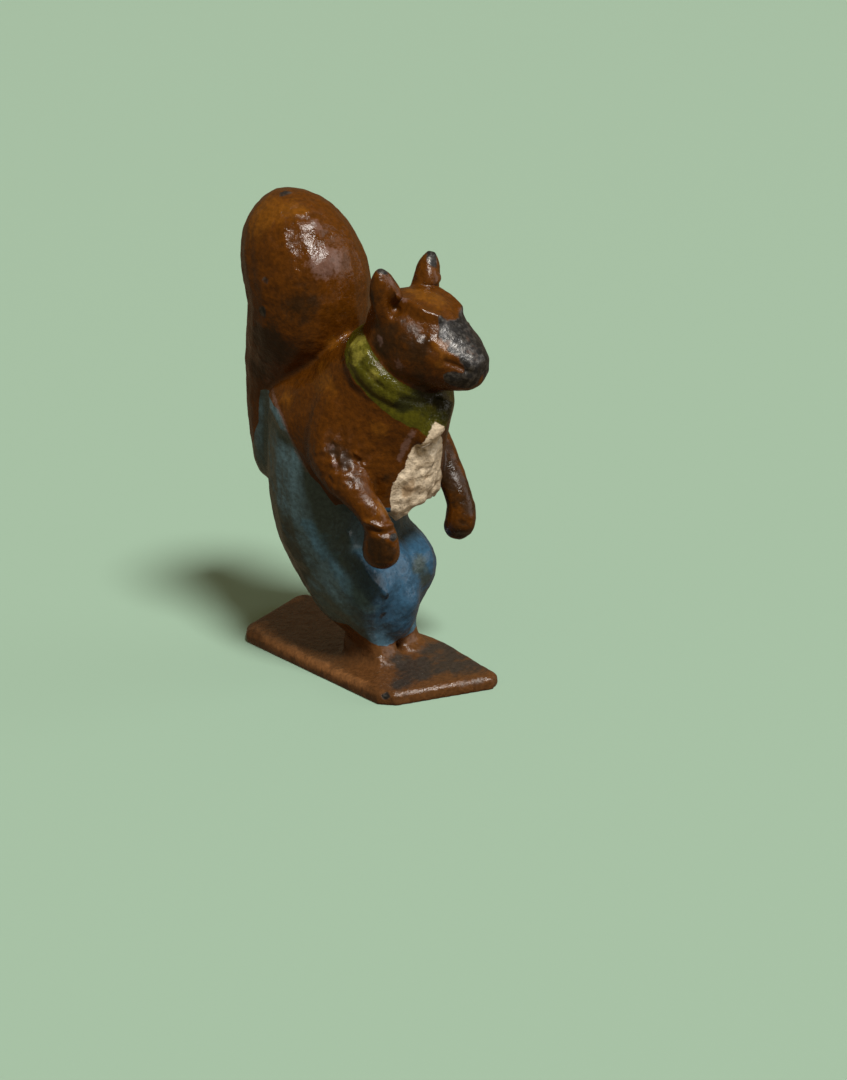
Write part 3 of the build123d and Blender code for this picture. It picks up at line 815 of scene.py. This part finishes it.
def paint_coat_group():
    """Old gloss paint with brushed edges, lighter places of thinly laid paint and painted light, darker
    places of dirt and painted shade, chalky pink of worn paint and painted sheen, and bare metal where it has
    worn.
    """
    group = bpy.data.node_groups.new("paint_coat", "ShaderNodeTree")
    group.interface.new_socket("Color", in_out="OUTPUT", socket_type="NodeSocketColor")
    for name in ("Roughness", "Metallic", "Height"):
        group.interface.new_socket(name, in_out="OUTPUT", socket_type="NodeSocketFloat")
    place = group.nodes.new("ShaderNodeTexCoord").outputs["Object"]
    patchy = cloud(group, place, *PATCHY)
    fine = cloud(group, place, *FINE)
    broad_swing = maths(group, "SUBTRACT", cloud(group, place, *BROAD), CLOUD_MEAN)
    patchy_swing = maths(group, "SUBTRACT", patchy, CLOUD_MEAN)
    fine_swing = maths(group, "SUBTRACT", fine, CLOUD_MEAN)

    def laid(name):
        return ramp(group, plus(group, patchy_swing, EDGE_SHAKE, attribute(group, name)), *LAID_STEP)

    tone = plus(group, broad_swing, TONE_BROAD, times(group, patchy_swing, TONE_PATCHY))
    # Lighter where the paint is thinly laid and where light is painted on; darker with dirt and where shade
    # is painted on
    thin = ramp(group, plus(group, attribute(group, "thin"), THIN_AND_LIT_SHARE, tone), *THIN_AND_LIT_STEP)
    grime_and_shade = maths(group, "SUBTRACT", times(group, attribute(group, "dark"), DARK_SHARE), tone)
    dark = ramp(group, grime_and_shade, *DARK_STEP)

    def paint(base, pale, deep):
        return mix(group, dark, mix(group, thin, base, pale), deep)

    colour = paint(FUR, FUR_THIN_AND_LIT, FUR_DARK)
    colour = mix(group, laid("plate"), colour, paint(PLATE, PLATE_PALE, PLATE_DARK))
    blue = mix(group, attribute(group, "front"), TROUSERS, TROUSERS_FRONT)
    colour = mix(group, laid("trousers"), colour, paint(blue, TROUSERS_PALE, TROUSERS_DARK))
    colour = mix(group, laid("scarf"), colour, paint(SCARF, SCARF_PALE, SCARF_DARK))
    shirt = laid("shirt")
    colour = mix(group, shirt, colour, paint(SHIRT, SHIRT_PALE, SHIRT_DARK))
    colour = mix(group, 1.0, colour, ramp(group, fine, *SPECKLE), "MULTIPLY")
    # Creases darker, by how far the skin bends inward
    colour = mix(group, times(group, attribute(group, "crease"), CREASE_SHARE), colour, CREASE_DARKENING)

    # Chalky pink: worn paint, and a painted sheen and painted highlights
    streaks = plus(group, fine_swing, STREAK_SHAKE, attribute(group, "chalk"))
    colour = mix(group, ramp(group, streaks, *CHALK_AND_SHEEN_STEP, 0.0, CHALK_AND_SHEEN_SHARE), colour, CHALK_AND_SHEEN)

    worn = times(group, attribute(group, "bare"), BARE_SHARE)
    worn = plus(group, attribute(group, "edge"), EDGE_SHARE, worn)
    worn = plus(group, patchy_swing, WEAR_SHAKE, worn)
    bare = maths(group, "MAXIMUM", ramp(group, worn, *BARE_STEP), laid("solder"))
    metal = mix(group, ramp(group, fine, *METAL_STEP), METAL, METAL_PALE)
    colour = mix(group, bare, colour, metal)

    rough = ramp(group, patchy, *ROUGH_PATCHY)
    for value, added in (
        (fine, ROUGH_FINE),
        (shirt, ROUGH_SHIRT),
        (bare, ROUGH_BARE),
        (attribute(group, "matt"), ROUGH_MATT),
        (attribute(group, "gloss"), ROUGH_GLOSS),
    ):
        rough = plus(group, value, added, rough)
    height = plus(group, bare, MARKS_BARE, plus(group, fine, MARKS_FINE, patchy))

    end = group.nodes.new("NodeGroupOutput")
    group.links.new(colour, end.inputs["Color"])
    group.links.new(rough, end.inputs["Roughness"])
    group.links.new(times(group, bare, METALLIC_BARE), end.inputs["Metallic"])
    group.links.new(height, end.inputs["Height"])
    return group


def new_material(name):
    """A material, its nodes and its shader."""
    material = bpy.data.materials.new(name)
    material.use_nodes = True
    tree = material.node_tree
    return material, tree, tree.nodes["Principled BSDF"]


def paint_material(name, group, depth_mm):
    """The painted skin, with brush marks of a given depth."""
    material, tree, shader = new_material(name)
    shader.inputs["Specular IOR Level"].default_value = SPECULAR
    coat = tree.nodes.new("ShaderNodeGroup")
    coat.node_tree = group
    for output, socket in (("Color", "Base Color"), ("Roughness", "Roughness"), ("Metallic", "Metallic")):
        tree.links.new(coat.outputs[output], shader.inputs[socket])
    bump = add_node(tree, "Bump", Height=coat.outputs["Height"], Distance=depth_mm * MM)
    tree.links.new(bump.outputs["Normal"], shader.inputs["Normal"])
    return material


def metal_material(name, colour, roughness):
    """Plain drawn metal with faint cloudy tarnish."""
    material, tree, shader = new_material(name)
    place = tree.nodes.new("ShaderNodeTexCoord").outputs["Object"]
    tarnish = cloud(tree, place, *TARNISH)
    shade = tuple(TARNISH_SHADE * c for c in colour)
    tree.links.new(mix(tree, tarnish, colour, shade), shader.inputs["Base Color"])
    tree.links.new(plus(tree, tarnish, ROUGH_TARNISH, roughness), shader.inputs["Roughness"])
    shader.inputs["Metallic"].default_value = 1.0
    return material


def plain_material(name, colour, roughness):
    """One even colour."""
    material, _, shader = new_material(name)
    shader.inputs["Base Color"].default_value = (*colour, 1)
    shader.inputs["Roughness"].default_value = roughness
    return material


SLOTS = {row["node"]: row["material_slot"] for row in frame["record"]["subparts"]}
paint_coat = paint_coat_group()
MATERIALS = {slot: paint_material(slot, paint_coat, depth) for slot, depth in MARKS_DEPTH.items()}
MATERIALS["pin_wire"] = metal_material("pin_wire", PIN_WIRE, ROUGH_WIRE)

# The figure
skin = fused_castings()
surface = Surface(skin)
for _ in range(CREASE_ROUNDS):
    surface.fill_creases(CREASE_PASSES, np.ones(len(surface.points), bool))
for place, reach, passes in FILLETS:
    surface.fill_creases(passes, surface.near_spot(place, reach) > WITHIN_REACH)
surface.soften(SOFTEN_PASSES)
weights = casting_weights(surface)
model_relief(surface, weights)
place, reach, passes = SLIT
surface.fill_creases(passes, surface.near_spot(place, reach) > WITHIN_REACH)
part_skin(surface, weights, paint_masks(surface, weights))
bpy.data.meshes.remove(skin)

# The pins keep their own shape
for name in PINS:
    node = frame["nodes"][name]
    node.data.materials.clear()
    node.data.materials.append(MATERIALS[SLOTS[name]])

# Floor and light
FLOOR_SIZE = 4.0
FLOOR = (0.392, 0.588, 0.457)
FLOOR_ROUGHNESS = 0.9
SKY = (1.0, 0.74, 0.42)
SKY_STRENGTH = 0.14


def sun_light(name, towards, strength, spread, shine, colour):
    """A sun in a given direction, with its spread in degrees."""
    data = bpy.data.lights.new(name, "SUN")
    data.energy = strength
    data.angle = radians(spread)
    data.specular_factor = shine
    data.color = colour
    light = bpy.data.objects.new(name, data)
    light.rotation_mode = "QUATERNION"
    light.rotation_quaternion = (-Vector(towards)).to_track_quat("-Z", "Y")
    bpy.context.scene.collection.objects.link(light)


sun_light("key", towards=(-0.18, -0.58, 0.79), strength=3.2, spread=14.0, shine=1.0, colour=(1.0, 0.96, 0.90))
sun_light("fill", towards=(0.55, -0.80, 0.22), strength=0.5, spread=40.0, shine=0.3, colour=(1.0, 0.97, 0.94))

bm = bmesh.new()
bmesh.ops.create_grid(bm, x_segments=1, y_segments=1, size=FLOOR_SIZE)
floor = new_object("floor", bm, plain_material("floor", FLOOR, FLOOR_ROUGHNESS))
floor.visible_glossy = False
floor.visible_diffuse = False

world = bpy.data.worlds.new("studio")
world.use_nodes = True
sky = world.node_tree.nodes["Background"]
sky.inputs["Color"].default_value = (*SKY, 1)
sky.inputs["Strength"].default_value = SKY_STRENGTH
bpy.context.scene.world = world
bpy.context.scene.view_settings.view_transform = "Standard"

# Camera
camera_data = bpy.data.cameras.new("camera")
camera_data.lens = CAMERA_LENS
camera_data.sensor_width = CAMERA_SENSOR
camera_data.clip_start, camera_data.clip_end = CAMERA_CLIP
camera = bpy.data.objects.new("camera", camera_data)
camera.location = CAMERA_PLACE
camera.rotation_mode = "QUATERNION"
aim = CAMERA_AIM.to_track_quat("-Z", "Y")
camera.rotation_quaternion = aim @ Quaternion((0, 0, 1), radians(CAMERA_ROLL))
bpy.context.scene.collection.objects.link(camera)
bpy.context.scene.camera = camera
